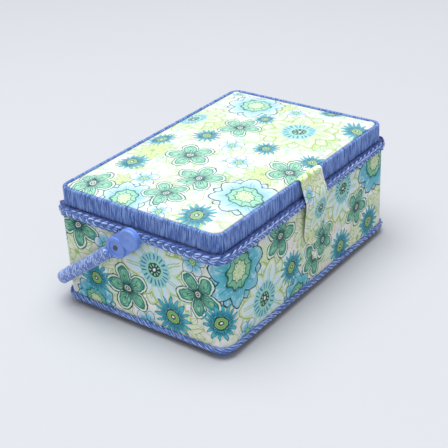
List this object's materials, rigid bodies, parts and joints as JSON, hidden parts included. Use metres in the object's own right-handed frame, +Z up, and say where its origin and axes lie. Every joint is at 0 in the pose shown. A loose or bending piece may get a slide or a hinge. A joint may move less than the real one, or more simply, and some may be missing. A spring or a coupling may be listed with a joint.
{
  "type": "sewing box with trays",
  "caption": "Fabric-covered sewing box with a padded hinged lid, a closing strap, a swinging wrapped handle and lift-out plastic trays.",
  "frame": {"origin": "under the middle of the whole object's box, on the surface that its feet stand on", "axes": "+Z up, X along the long side and the lid's hinge, the strap on the -Y front, the handle at rest at the +Y back"},
  "size_m": [0.3104, 0.2098, 0.1285],
  "materials": {
    "printed_cotton": "woven, matt",
    "band_cord": "wound cord",
    "trim_cord": "plaited cord",
    "handle_cord": "wound cord",
    "satin_lining": "satin",
    "underside_cloth": "felted",
    "fibreboard": "raw board",
    "lid_foam": "soft foam",
    "blue_plastic": "moulded",
    "tray_plastic": "moulded",
    "elastic": "gathered elastic",
    "plated_steel": "plated",
    "dark_rivet": "dull"
  },
  "bodies": {
    "base": {"base_board": "fibreboard", "base_wall": "fibreboard", "base_cover": "printed_cotton", "base_lining": "satin_lining", "floor_pad": "satin_lining", "underside_cloth": "underside_cloth", "upper_trim": "trim_cord", "lower_trim": "trim_cord", "front_left_foot": "blue_plastic", "front_right_foot": "blue_plastic", "back_left_foot": "blue_plastic", "back_right_foot": "blue_plastic", "foot_screws": "plated_steel", "front_tray_ledge": "satin_lining", "back_tray_ledge": "satin_lining", "closure_keeper": "plated_steel", "left_hinge_base_leaf": "plated_steel", "right_hinge_base_leaf": "plated_steel", "left_hinge_pin": "plated_steel", "right_hinge_pin": "plated_steel", "base_hinge_screws": "plated_steel", "left_pivot_rivet": "plated_steel", "right_pivot_rivet": "plated_steel", "left_pivot_washer": "plated_steel", "right_pivot_washer": "plated_steel", "left_pivot_spacer": "plated_steel", "right_pivot_spacer": "plated_steel"},
    "lid": {"lid_frame": "fibreboard", "lid_board": "fibreboard", "lid_foam": "lid_foam", "lid_cover": "printed_cotton", "lid_band": "band_cord", "lid_lining": "satin_lining", "lid_pocket": "satin_lining", "pocket_elastic": "elastic", "left_hinge_lid_leaf": "plated_steel", "right_hinge_lid_leaf": "plated_steel", "lid_hinge_screws": "plated_steel", "strap_root": "printed_cotton"},
    "strap": {"strap": "printed_cotton", "strap_magnet": "plated_steel"},
    "handle": {"handle_core": "plated_steel", "handle_wrap": "handle_cord", "left_handle_end": "blue_plastic", "right_handle_end": "blue_plastic", "left_handle_rivet": "dark_rivet", "right_handle_rivet": "dark_rivet", "left_pivot_cap": "blue_plastic", "right_pivot_cap": "blue_plastic"},
    "left_tray": {"left_tray": "tray_plastic"},
    "right_tray": {"right_tray": "tray_plastic"}
  },
  "joints": [
    {"name": "lid_hinge", "type": "hinge", "parent": "base", "child": "lid", "pos_m": [0, 0.09471, 0.107], "axis": [-1, 0, 0], "range_deg": [0, 105]},
    {"name": "strap_flap", "type": "hinge", "parent": "lid", "child": "strap", "pos_m": [0, -0.09709, 0.125], "axis": [-1, 0, 0], "range_deg": [0, 110]},
    {"name": "handle_swing", "type": "hinge", "parent": "base", "child": "handle", "pos_m": [0, -0.00249, 0.0988], "axis": [1, 0, 0], "range_deg": [0, 252]},
    {"name": "left_tray_lift", "type": "slide", "parent": "base", "child": "left_tray", "axis": [0, 0, 1], "range_m": [0, 0.014]},
    {"name": "right_tray_lift", "type": "slide", "parent": "base", "child": "right_tray", "axis": [0, 0, 1], "range_m": [0, 0.014]}
  ]
}
